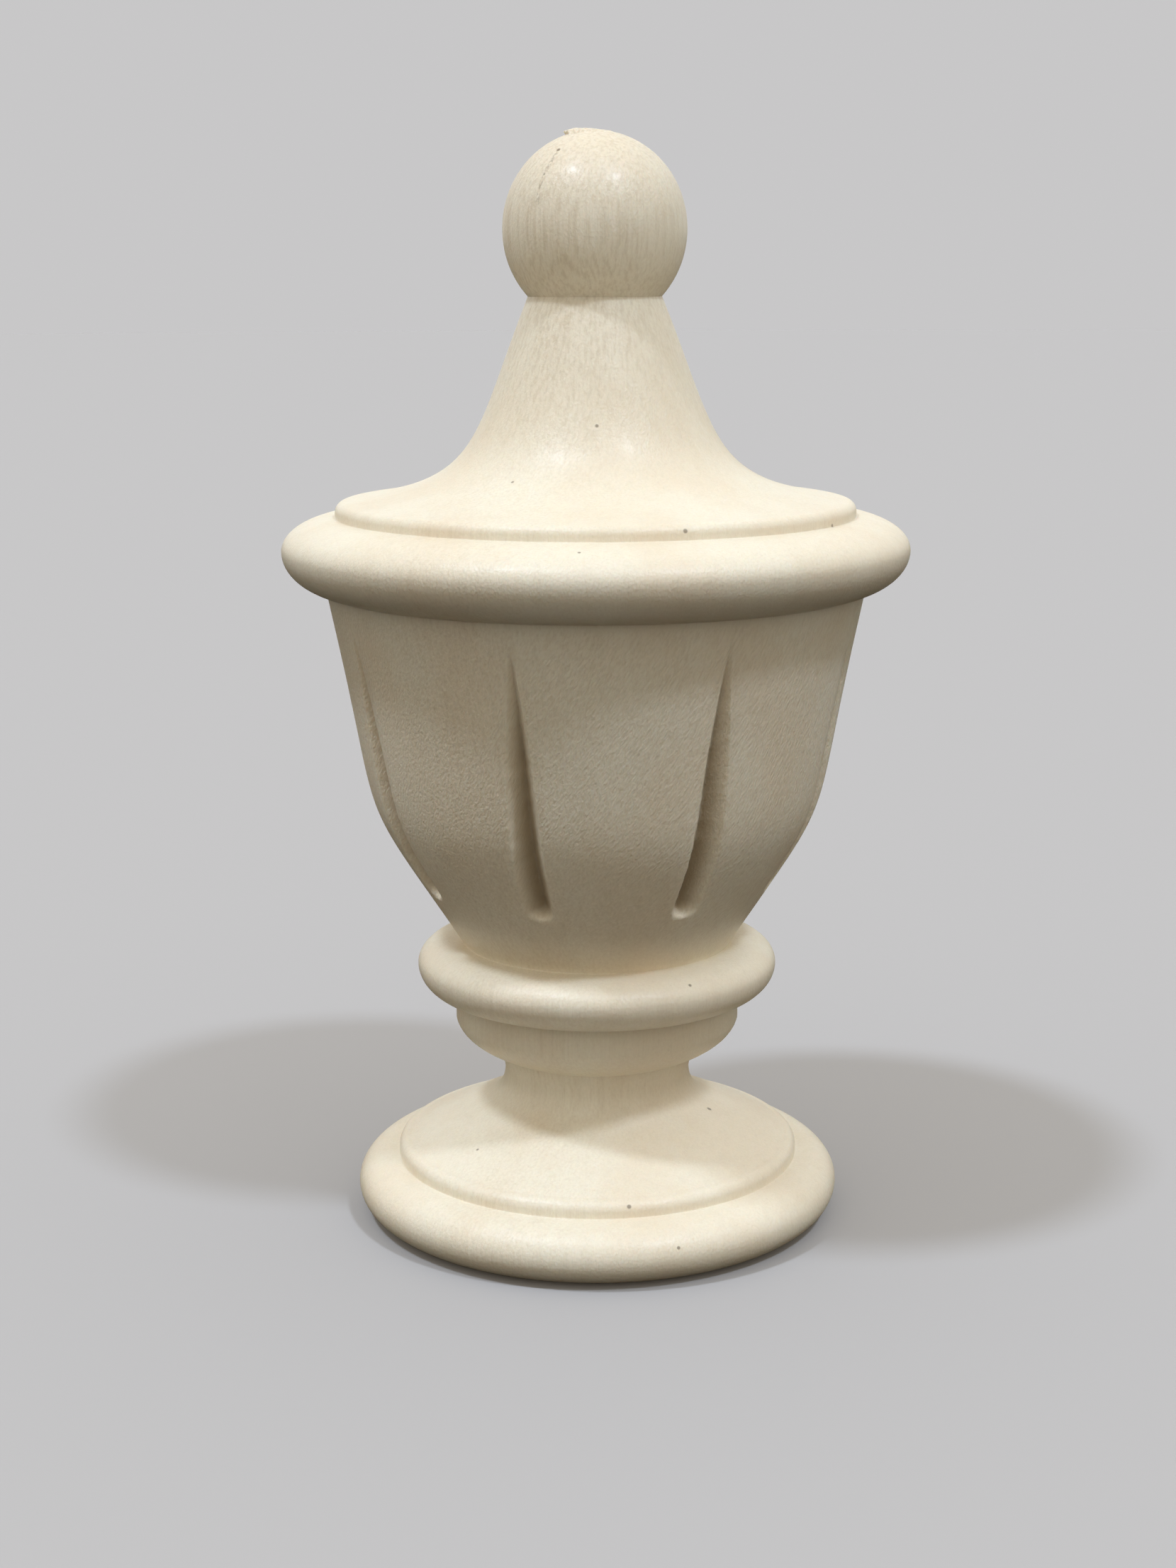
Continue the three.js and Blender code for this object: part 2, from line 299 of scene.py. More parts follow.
def arc(centre, half_width, half_height, start, end):
    """Ellipse arc: radius = centre + half width x cos(a), height = centre + half height x sin(a)."""
    angle = np.linspace(start, end, CURVE_STEPS)
    return np.stack(
        [centre[0] + half_width * np.cos(angle), centre[1] + half_height * np.sin(angle)], axis=1
    )


def bezier(*points):
    """Bezier curve: the sum of its control points, each times its Bernstein weight."""
    share_along = np.linspace(0, 1, CURVE_STEPS)[:, None]
    degree = len(points) - 1
    weights = [
        math.comb(degree, k) * share_along**k * (1 - share_along) ** (degree - k)
        for k in range(degree + 1)
    ]
    return sum(weight * np.array(point) for weight, point in zip(weights, points))


def bead(outer, depth, low, high, widest, radius_below, radius_above):
    """Half-round bead: two quarter ellipses that stand out by depth and meet where the bead is
    widest, at that share of its height. They are cut where a wider wall meets them."""
    centre = outer - depth
    middle = low + (high - low) * widest
    start = math.acos(min(max((radius_below - centre) / depth, 0), 1))
    end = math.acos(min(max((radius_above - centre) / depth, 0), 1))
    lower = arc((centre, middle), depth, middle - low, -start, 0)
    upper = arc((centre, middle), depth, high - middle, 0, end)
    return np.concatenate([lower, upper[1:]])


def turned_bead(group, low, radius_below, radius_above):
    """Bead with the sizes of a settings group, from a height up."""
    high = low + group.height
    walls = (radius_below, radius_above)
    return bead(group.diameter / 2, group.depth, low, high, group.widest, *walls)


def corner(radius, height, rounding):
    """Quarter circle from an upright edge to the surface over it."""
    return arc((radius - rounding, height - rounding), rounding, rounding, 0, math.pi / 2)


class Outline:
    """Radii and heights where the finial's sections meet, and the outline through them."""

    def __init__(self, s):
        self.settings = s
        self.disc = s.base.diameter / 2 - s.base.bead_step
        self.stem = s.stem.diameter / 2
        self.step = s.ring.diameter / 2 - s.ring.step_below
        self.bowl_foot = s.ring.diameter / 2 - s.ring.step_above
        self.bowl_top = s.rim.diameter / 2 - s.rim.step_below
        self.lid = s.rim.diameter / 2 - s.rim.step_above
        self.neck = s.ball.neck_diameter / 2
        self.disc_low = s.base.bead_height
        self.disc_high = self.disc_low + s.base.disc_edge
        self.slope_high = self.disc_high + s.base.slope_rise
        self.cove_high = self.slope_high + s.base.cove_rise
        self.stem_high = self.cove_high + s.stem.height
        self.step_low = self.stem_high + s.stem.quarter_round
        self.ring_low = self.step_low + s.stem.step
        self.ring_high = self.ring_low + s.ring.height
        self.rim_low = self.ring_high + s.bowl.height
        self.rim_high = self.rim_low + s.rim.height
        self.lid_low = self.rim_high + s.lid.edge_height
        self.neck_high = self.lid_low + s.lid.rise
        self.ball_angle = -math.acos(2 * self.neck / s.ball.diameter)
        self.ball_middle = self.neck_high - s.ball.height / 2 * math.sin(self.ball_angle)
        stub_reach = s.ball.stub_diameter / 2 + s.ball.stub_shift + s.ball.stub_edge
        self.stub_angle = math.acos(2 * stub_reach / s.ball.diameter)

    def radius_at(self, height):
        """Radius of the turned surface at a height."""
        radius, heights = outline_rows(self)
        return float(np.interp(height, heights, radius))

    def base_sections(self):
        """Bead, disc edge and slope, then a cove that leaves along the slope and ends upright."""
        base = self.settings.base
        foot = (self.stem + base.cove_reach, self.slope_high)
        slope = base.slope_rise / (self.disc - foot[0])
        meeting = (self.stem, self.slope_high + slope * base.cove_reach)
        outer = base.diameter / 2
        return [
            bead(outer, base.bead_depth, 0, self.disc_low, base.bead_widest, 0, self.disc),
            segment((self.disc, self.disc_low), (self.disc, self.disc_high - base.disc_round)),
            corner(self.disc, self.disc_high, base.disc_round),
            bezier(foot, meeting, (self.stem, self.cove_high)),
        ]

    def stem_sections(self):
        """Stem, quarter round and step."""
        stem = self.settings.stem
        flared = self.stem + stem.flare
        bulge = flared + (self.step - flared) * stem.fullness
        height = self.stem_high + stem.quarter_round * stem.lift
        return [
            segment((self.stem, self.cove_high), (flared, self.stem_high)),
            bezier((flared, self.stem_high), (bulge, height), (self.step, self.step_low)),
            segment((self.step, self.step_low), (self.step, self.ring_low)),
        ]

    def bowl_section(self):
        """Wall of the bowl: a cubic curve that leaves the ring and meets the rim at their leans."""
        bowl = self.settings.bowl
        foot_pull = bowl.height * bowl.foot_pull
        top_pull = bowl.height * bowl.top_pull
        return bezier(
            (self.bowl_foot, self.ring_high),
            (self.bowl_foot + foot_pull * math.tan(bowl.foot_lean), self.ring_high + foot_pull),
            (self.bowl_top - top_pull * math.tan(bowl.top_lean), self.rim_low - top_pull),
            (self.bowl_top, self.rim_low),
        )

    def lid_sections(self):
        """Upright edge of the lid, its corner and the bell curve up to the neck."""
        lid = self.settings.lid
        edge = self.lid - lid.edge_round
        edge_pull = (edge - self.neck) * lid.edge_pull
        neck_pull = lid.rise * lid.neck_pull
        return [
            segment((self.lid, self.rim_high), (self.lid, self.lid_low - lid.edge_round)),
            corner(self.lid, self.lid_low, lid.edge_round),
            bezier(
                (edge, self.lid_low),
                (edge - edge_pull, self.lid_low + edge_pull * math.tan(lid.edge_slope)),
                (self.neck + neck_pull * math.tan(lid.neck_lean), self.neck_high - neck_pull),
                (self.neck, self.neck_high),
            ),
        ]

    def ball_section(self, start, end):
        """Ball: an ellipse between two angles over its middle."""
        ball = self.settings.ball
        return arc((0, self.ball_middle), ball.diameter / 2, ball.height / 2, start, end)

    def sections(self):
        """The whole outline from the centre of the underside to the top of the ball, as lines of
        (radius, height) points, each with the height of its rows."""
        mesh = self.settings.mesh
        base = self.settings.base
        under = base.diameter / 2 - base.bead_depth
        ring = turned_bead(self.settings.ring, self.ring_low, self.step, self.bowl_foot)
        rim = turned_bead(self.settings.rim, self.rim_low, self.bowl_top, self.lid)
        ball = self.ball_section(self.ball_angle, self.stub_angle)
        ball_top = self.ball_section(self.stub_angle, math.pi / 2)
        lower = [*self.base_sections(), *self.stem_sections(), ring]
        upper = [rim, *self.lid_sections(), ball]
        return [
            (segment((0, 0), (under, 0)), mesh.plain_row),
            *((line, mesh.row) for line in lower),
            (self.bowl_section(), mesh.groove_row),
            *((line, mesh.row) for line in upper),
            (ball_top, mesh.stub_row),
        ]


def outline_rows(outline):
    """Radius and height of every row of the surface.

    The sections are joined and sampled evenly, and a running mean rounds the turned corners. A row
    is then set wherever the running sum of length / row height + bend / turn reaches a whole number.
    """
    sample = 0.01 * MILLIMETRE
    mesh = outline.settings.mesh
    grooves = outline.settings.grooves
    lines, heights = zip(*outline.sections())
    points = np.concatenate(lines)
    row_height = np.repeat(heights, [len(line) for line in lines])
    along = running_length(points)
    even = np.arange(0, along[-1], sample)
    even[-1] = along[-1]
    row_height = row_height[np.clip(np.searchsorted(along, even), 0, len(along) - 1)]
    window = np.hanning(round(mesh.softness / sample) | 1)
    window = window / window.sum()
    radius, height = (rounded(np.interp(even, along, values), window) for values in points.T)
    groove_end = outline.ring_high + grooves.foot_gap
    end_reach = 1.5 * grooves.depth
    near_end = np.abs(height - groove_end) < end_reach
    row_height = np.where(near_end & (row_height == mesh.groove_row), mesh.end_row, row_height)
    heading = np.unwrap(np.arctan2(np.diff(height), np.diff(radius)))
    bend = np.abs(np.diff(heading, prepend=heading[0]))
    cost = np.concatenate([[0], np.cumsum(sample / row_height[1:] + bend / mesh.turn)])
    rows = np.linspace(0, cost[-1], round(cost[-1]) + 1)
    row_radius, row_height = np.interp(rows, cost, radius), np.interp(rows, cost, height)
    row_radius[[0, -1]] = 0
    return row_radius, row_height


def running_length(points):
    """Length along a line from its start to each point."""
    return np.concatenate([[0], np.cumsum(np.hypot(*np.diff(points, axis=0).T))])


def rounded(values, window):
    """Running mean with a window, with the ends carried on straight."""
    padded = np.pad(values, len(window) // 2, mode="reflect", reflect_type="odd")
    return np.convolve(padded, window, mode="valid")


def wave_noise(around, along, turns, pitch, seed):
    """Smooth noise that closes round the axis: a sum of cosines. Each makes a whole number of turns
    round the axis, with a random rate along the outline and a random start."""
    waves = 48
    random = np.random.default_rng(seed)
    whole_turns = random.integers(-turns, turns + 1, waves)
    rates = random.normal(0, 2 * math.pi / pitch, waves)
    starts = random.uniform(0, 2 * math.pi, waves)
    total = np.zeros_like(around)
    for turn, rate, start in zip(whole_turns, rates, starts):
        total += np.cos(turn * around + rate * along + start)
    return total / math.sqrt(waves / 2)


def groove_depth(outline, along, top, foot):
    """Depth of a groove's bottom: a parabola over its length, zero at its upper end and deepest at
    the deepest share."""
    grooves = outline.settings.grooves
    down = np.clip((top - along) / (top - foot), 0, 1)
    return grooves.depth * (1 - ((grooves.deepest - down) / grooves.deepest) ** 2)


def column_angles(outline, radius, mouth, on_groove):
    """Angle of every column in every row, as (row, column).

    Half a panel's columns lie at set shares of the groove's mouth, then evenly to the panel's
    middle. Away from the grooves the columns spread out evenly. The other half is its mirror.
    """
    grooves = outline.settings.grooves
    mouth_shares = np.array([0, 0.1, 0.45, 0.8, 0.95, 1.06])
    narrowest = grooves.depth / 6
    widest = grooves.depth
    panel_columns = outline.settings.mesh.panel_columns
    half_panel = math.pi / grooves.count
    columns = len(mouth_shares) + panel_columns
    even = np.linspace(0, half_panel, columns)
    reach = np.clip(mouth, narrowest, widest)
    near = reach[:, None] * mouth_shares / np.maximum(radius, widest)[:, None]
    last = near[:, -1:]
    steps = np.arange(1, panel_columns + 1) / panel_columns
    fitted = np.concatenate([near, last + (half_panel - last) * steps], axis=1)
    half = even + (fitted - even) * on_groove[:, None]
    sector = np.concatenate([half, 2 * half_panel - half[:, -2:0:-1]], axis=1)
    starts = (np.arange(grooves.count) - 0.5) * 2 * half_panel
    return (starts[None, :, None] + sector[:, None, :]).reshape(len(radius), -1)


def cut_grooves(outline, radius, height, along, angle, top, foot):
    """Depth of the grooves, which run from top down to foot along the outline, at every point.

    A cutter with two straight flanks runs down the wall. The cut at a point is the groove's depth
    less its distance from the cutter's path over the tangent of half the flanks' angle, so that the
    lower end is half a cone. A soft maximum rounds the lips.
    """
    grooves = outline.settings.grooves
    spacing = 2 * math.pi / grooves.count
    off_plane = angle % spacing - spacing / 2
    sideways = radius * np.sin(off_plane)
    past_end = np.clip(foot - along, 0, None)
    distance = np.sqrt(sideways**2 + past_end**2 + grooves.lip_round**2)
    tear_turns = 90
    tear_pitch = 1.6 * MILLIMETRE
    tear = wave_noise(angle, along, tear_turns, tear_pitch, outline.settings.mesh.seed)
    depth = groove_depth(outline, along, top, foot)
    depth = depth + grooves.lip_tear * tear * np.clip(depth / grooves.depth, 0, 1)
    cut = depth - distance / math.tan(grooves.angle / 2)
    soft = (cut + np.sqrt(cut**2 + grooves.lip_round**2)) / 2
    lowest = outline.ring_high + 0.3 * grooves.foot_gap
    on_bowl = (along < top) & (height > lowest)
    return np.where(on_bowl, soft, 0)


def smooth_step(value):
    """Smooth step: 0 up to 0, 3 v^2 - 2 v^3 between, 1 from 1 on."""
    value = np.clip(value, 0, 1)
    return value**2 * (3 - 2 * value)


def tear_stub(outline, x, y, height):
    """Torn stub on the ball, and how strongly each point is torn.

    Inside a ragged circle off the middle the surface is lifted by a slab, less the torn fibres'
    depth. The slab thickens with the square of the way over it, and thins again at its tip. The
    upper edge of the tip leans out over the ball.
    """
    ball = outline.settings.ball
    seed = outline.settings.mesh.seed + 1
    side = ball.stub_side - math.pi / 2
    radius = ball.stub_diameter / 2
    off = x * math.cos(side) + y * math.sin(side) - ball.stub_shift
    across = y * math.cos(side) - x * math.sin(side)
    on_top = height > outline.ball_middle
    fibre = 0.3 * MILLIMETRE
    fibre_turns = 3
    torn = 0.5 + 0.5 * np.tanh(wave_noise(x / fibre, y, fibre_turns, 2 * fibre, seed))
    raggedness = 0.07
    ragged_turns = 9
    edge_wave = wave_noise(np.arctan2(across, off), off, ragged_turns, 4 * fibre, seed + 1)
    ragged = radius * (1 + raggedness * edge_wave)
    inside = smooth_step((ragged - np.hypot(off, across)) / ball.stub_edge + 0.5)
    way_over = np.clip((off + radius) / (2 * radius), 0, 1)
    tip_start = 0.75
    tip_loss = 0.5
    grown = way_over**2 * (1 - tip_loss * smooth_step((way_over - tip_start) / (1 - tip_start)))
    slab = ball.stub_height * (ball.stub_thin + (1 - ball.stub_thin) * grown)
    lift = np.where(on_top, inside * np.clip(slab - ball.stub_tear * torn, 0, None), 0)
    thick_side = np.clip(off / radius, 0, 1) ** 2
    lean_out = np.where(on_top, ball.stub_overhang * inside * thick_side, 0)
    x = x + lean_out * math.cos(side)
    y = y + lean_out * math.sin(side)
    return x, y, height + lift, np.where(on_top, inside * torn, 0)


def band_faces(bands, columns, start=0):
    """Corners of the four-sided faces between rings of points. Start is the first point's number."""
    ring = start + np.arange(bands)[:, None] * columns
    column = np.arange(columns)[None, :]
    first = ring + column
    following = ring + (column + 1) % columns
    faces = np.stack([first, following, following + columns, first + columns], axis=-1)
    return faces.reshape(-1, 4)


def closed_surface(name, points, cut):
    """Closed mesh from rows of points round an axis, which keeps the cut at each point. The first
    and the last row are single points, closed by triangles. Faces point outwards."""
    rows, columns = points.shape[:2]
    rings = points[1:-1].reshape(-1, 3)
    vertices = np.concatenate([points[:1, 0], rings, points[-1:, 0]])
    quads = band_faces(rows - 3, columns, start=1)
    low = 1 + np.arange(columns)
    next_low = 1 + (np.arange(columns) + 1) % columns
    last = (rows - 3) * columns
    bottom = np.stack([np.zeros(columns, int), next_low, low], axis=-1)
    top = np.stack([np.full(columns, len(vertices) - 1), low + last, next_low + last], axis=-1)
    mesh = bpy.data.meshes.new(name)
    mesh.from_pydata(vertices.tolist(), [], quads.tolist() + bottom.tolist() + top.tolist())
    # Kept at each point: the groove depth share for the painted groove shade, plus the torn stub's tint
    cut_rows = np.concatenate([cut[0, :1], cut[1:-1].ravel(), cut[-1, :1]])
    mesh.attributes.new(SHADE_AND_TEAR_ATTRIBUTE, "FLOAT", "POINT").data.foreach_set("value", cut_rows)
    mesh.shade_smooth()
    mesh.update()
    return mesh


def finial_points(settings):
    """Points of the finial's surface as (row, column, 3): the outline carried round the Z axis, less
    the grooves, with the stub torn and the whole a little uneven. Also how deeply each point lies in
    a groove or how torn it is, from 0 to 1."""
    outline = Outline(settings)
    radius, height = outline_rows(outline)
    along = running_length(np.stack([radius, height], axis=1))
    grooves = settings.grooves
    top = np.interp(outline.rim_low - grooves.top_gap, height, along)
    foot = np.interp(outline.ring_high + grooves.foot_gap, height, along)
    mouth = groove_depth(outline, along, top, foot) * math.tan(grooves.angle / 2)
    fade = 6 * MILLIMETRE
    near_top = np.clip((top + fade - along) / fade, 0, 1)
    near_foot = np.clip((along - (foot - fade)) / (fade / 2), 0, 1)
    angle = column_angles(outline, radius, mouth, near_top * near_foot)
    angle -= math.pi / 2
    shape = np.ones_like(angle)
    radius, height, along = (values[:, None] * shape for values in (radius, height, along))
    cut = cut_grooves(outline, radius, height, along, angle, top, foot)
    wave_turns = 6
    wave_pitch = 14 * MILLIMETRE
    waves = wave_noise(angle, along, wave_turns, wave_pitch, settings.mesh.seed + 5)
    calm_middle = 2 * MILLIMETRE
    off_middle = np.clip(radius / calm_middle, 0, 1)
    carved = radius - cut - settings.mesh.unevenness * off_middle * (0.5 + 0.5 * np.tanh(waves))
    x, y, height, torn = tear_stub(outline, carved * np.cos(angle), carved * np.sin(angle), height)
    # Share of the groove's depth, which the material turns into painted shade inside the grooves
    depth = np.clip(cut / grooves.depth, 0, 1)
    return np.stack([x, y, height], axis=-1), depth + torn * settings.wood.torn_tint


class Value:
    """A number that varies over a surface: sums, differences and products of it add Math nodes."""

    def __init__(self, graph, socket):
        self.graph = graph
        self.socket = socket

    def math(self, operation, first, second):
        """Arithmetic on two numbers."""
        return self.graph.node("ShaderNodeMath", {"operation": operation}, {0: first, 1: second})

    def __add__(self, other):
        return self.math("ADD", self, other)

    def __sub__(self, other):
        return self.math("SUBTRACT", self, other)

    def __rsub__(self, other):
        return self.math("SUBTRACT", other, self)

    def __mul__(self, other):
        return self.math("MULTIPLY", self, other)

    __radd__ = __add__
    __rmul__ = __mul__


class Graph:
    """The node tree of a material or of the world."""

    def __init__(self, owner):
        self.owner = owner
        owner.use_nodes = True
        self.tree = owner.node_tree
        self.tree.nodes.clear()

    def node(self, kind, settings=None, inputs=None, output=0):
        """Adds a node, sets its settings, then sets or links its sockets, and returns an output."""
        made = self.tree.nodes.new(kind)
        for name, value in (settings or {}).items():
            setattr(made, name, value)
        for name, value in (inputs or {}).items():
            if isinstance(value, Value):
                self.tree.links.new(value.socket, made.inputs[name])
            else:
                made.inputs[name].default_value = value
        return Value(self, made.outputs[output]) if made.outputs else made

    def vector(self, operation, first, second=None, output="Vector"):
        """Vector arithmetic on one or two points."""
        inputs = {0: first} if second is None else {0: first, 1: second}
        return self.node("ShaderNodeVectorMath", {"operation": operation}, inputs, output)

    def noise(self, point, width, length, layers):
        """Noise between 0 and 1, with that many finer layers. Its marks have that width and run up
        the wood for that length."""
        factors = (1 / width, 1 / width, 1 / length)
        place_in_marks = self.vector("MULTIPLY", point, factors)
        inputs = {"Vector": place_in_marks, "Scale": 1.0, "Detail": layers}
        return self.node("ShaderNodeTexNoise", None, inputs)

    def ramp(self, value, low, high, from_value=0.0, to_value=1.0):
        """Smooth step: from_value up to low, to_value from high on."""
        smooth = {"interpolation_type": "SMOOTHSTEP"}
        ends = {"From Min": low, "From Max": high, "To Min": from_value, "To Max": to_value}
        return self.node("ShaderNodeMapRange", smooth, {"Value": value, **ends})

    def mix(self, factor, first, second):
        """Colour between two colours. The node's colour inputs are 6 and 7, its colour output 2."""
        inputs = {"Factor": factor, 6: first, 7: second}
        return self.node("ShaderNodeMix", {"data_type": "RGBA"}, inputs, 2)


def opaque(colour):
    """A colour with full alpha."""
    return (*colour, 1.0)


# Patterns in the wood: width and length of a mark, and the number of finer layers
RING_WANDER = (3 * MILLIMETRE, 60 * MILLIMETRE, 2.0)
RING_FRAY = (0.5 * MILLIMETRE, 5 * MILLIMETRE, 2.0)
ZONE_WANDER = (4 * MILLIMETRE, 30 * MILLIMETRE, 1.0)
PATCHES = (11 * MILLIMETRE, 24 * MILLIMETRE, 2.0)
GRIT = (0.24 * MILLIMETRE, 0.34 * MILLIMETRE, 1.0)

# How many rings the growth lines wander and fray by
WANDER_RINGS = 5.0
FRAY_RINGS = 1.2

# Levels from which and up to which a mark comes in
STREAK_LEVELS = (0.42, 0.66)
PORE_LEVELS = (0.56, 0.74)
PATCH_LEVELS = (0.35, 0.7)
BUNDLE_LEVELS = (0.4, 0.7)
HAIR_LEVELS = (0.35, 0.6)
SHADE_AND_TEAR_LEVELS = (0.05, 0.8)

# Strength of the streaks and the shine under the bell curve, against the ball's
UNDER_NECK = 0.35

# How far each mark takes the wood to the dark or the speck colour
BASE_TINT = 0.05
RING_TINT = 0.07
STREAK_TINT = 0.30
# Painted shade at the bowl's foot, over the ring
FOOT_SHADE_TINT = 0.28
BUNDLE_TINT = 0.07
PORE_TINT = 0.13
GRIT_TINT = 0.30
FUZZ_TINT = 0.9
SPECK_TINT = 0.7
HAIR_TINT = 0.3

# Share of the relief that each mark makes
FIBRE_RELIEF = 0.6
PORE_RELIEF = 0.4
GRIT_RELIEF = 1.0
FUZZ_RELIEF = 2.0

# How much rougher fibres and pores are
FIBRE_ROUGHNESS = 0.2
PORE_ROUGHNESS = 0.08

# The shine's roughness, and how the wood bends and spreads light
COAT_ROUGHNESS = 0.2
WOOD_IOR = 1.45
SPREAD_WEIGHT = 0.22
SPREAD_COLOUR = (1.0, 0.6, 0.35)
SPREAD_DEPTH = 1.6 * MILLIMETRE


def across_rings(wood):
    """Level direction across the growth lines."""
    return (math.sin(wood.ring_facing), -math.cos(wood.ring_facing), 0.0)


def growth_lines(graph, point, wood):
    """Growth lines: the distance from the centre of the tree over the ring width, made wavy by
    noise, drives a sine whose crests are the lines."""
    pith = tuple(-wood.pith * part for part in across_rings(wood))
    from_pith = graph.vector("SUBTRACT", point, pith)
    level = graph.vector("MULTIPLY", from_pith, (1.0, 1.0, 0.0))
    distance = graph.vector("LENGTH", level, output="Value")
    wander = graph.noise(point, *RING_WANDER)
    fray = graph.noise(point, *RING_FRAY)
    rings = distance * (1 / wood.ring_width) + wander * WANDER_RINGS + fray * FRAY_RINGS
    wave = graph.node("ShaderNodeMath", {"operation": "SINE"}, {0: rings * (2 * math.pi)})
    crest = 0.5 + 0.5 * wave
    return crest * crest


def ring_zone(graph, point, wood):
    """One in the zone of the tree where the grain shows most, and low away from it."""
    from_axis = graph.vector("DOT_PRODUCT", point, across_rings(wood), output="Value")
    wander = graph.noise(point, *ZONE_WANDER)
    wandered = from_axis + (wander - 0.5) * wood.ring_zone
    off_zone = graph.node("ShaderNodeMath", {"operation": "ABSOLUTE"}, {0: wandered})
    full_to = 0.4 * wood.ring_zone
    faded_at = 2.2 * wood.ring_zone
    far_off = 0.25
    return graph.ramp(off_zone, full_to, faded_at, 1.0, far_off)


# Small dark specks: height in mm, direction in degrees from -Y towards +X, width in mm
SPECKS = (
    (111.6, -42.7, 0.45),
    (76.1, 12.9, 0.5),
    (75.3, 54.5, 0.45),
    (74.6, -8.2, 0.35),
    (85.0, -4.6, 0.4),
    (79.7, -35.8, 0.35),
    (29.0, 25.8, 0.4),
    (11.6, 66.9, 0.6),
    (7.4, 3.3, 0.5),
    (4.3, 13.1, 0.4),
    (9.7, -54.1, 0.35),
)

# Fine dark hairline on the ball: points of height in millimetres and direction in degrees
HAIRLINE = ((111.6, -42.7), (110.4, -42.6), (109.2, -43.6), (108.0, -44.6), (106.4, -43.4))
HAIRLINE_WIDTH = 0.3


def on_surface(outline, height, turn):
    """Point on the turned surface at a height in millimetres and a direction in degrees."""
    radius = outline.radius_at(height * MILLIMETRE)
    side = math.radians(turn)
    return Vector((radius * math.sin(side), -radius * math.cos(side), height * MILLIMETRE))


def line_mask(graph, point, start, end, width):
    """One along a straight line from start to end, zero further off than its width."""
    along = end - start
    share_along = graph.vector(
        "DOT_PRODUCT",
        graph.vector("SUBTRACT", point, tuple(start)),
        tuple(along / along.length_squared),
        output="Value",
    )
    held = graph.node("ShaderNodeClamp", None, {"Value": share_along})
    scaled = graph.node(
        "ShaderNodeVectorMath", {"operation": "SCALE"}, {0: tuple(along), "Scale": held}, "Vector"
    )
    nearest = graph.vector("ADD", scaled, tuple(start))
    distance = graph.vector("DISTANCE", point, nearest, output="Value")
    core = 0.2 * width
    return graph.ramp(distance, core, width, 1.0, 0.0)


def speck_mask(graph, point, centre, radius):
    """One inside a small ball round centre, zero outside, with a soft edge."""
    distance = graph.vector("DISTANCE", point, centre, output="Value")
    core = 0.5 * radius
    rim = 1.2 * radius
    return graph.ramp(distance, core, rim, 1.0, 0.0)


def dark_marks(graph, point, outline, torn_line, colour):
    """Adds the specks to a colour, and the hairline where torn_line lets it show."""
    dark = opaque(outline.settings.wood.speck)
    for height, turn, width in SPECKS:
        centre = tuple(on_surface(outline, height, turn))
        spot = speck_mask(graph, point, centre, width * MILLIMETRE / 2)
        colour = graph.mix(spot * SPECK_TINT, colour, dark)
    for start, end in zip(HAIRLINE, HAIRLINE[1:]):
        ends = (on_surface(outline, *start), on_surface(outline, *end))
        hair = line_mask(graph, point, *ends, HAIRLINE_WIDTH * MILLIMETRE)
        colour = graph.mix(hair * torn_line * HAIR_TINT, colour, dark)
    return colour


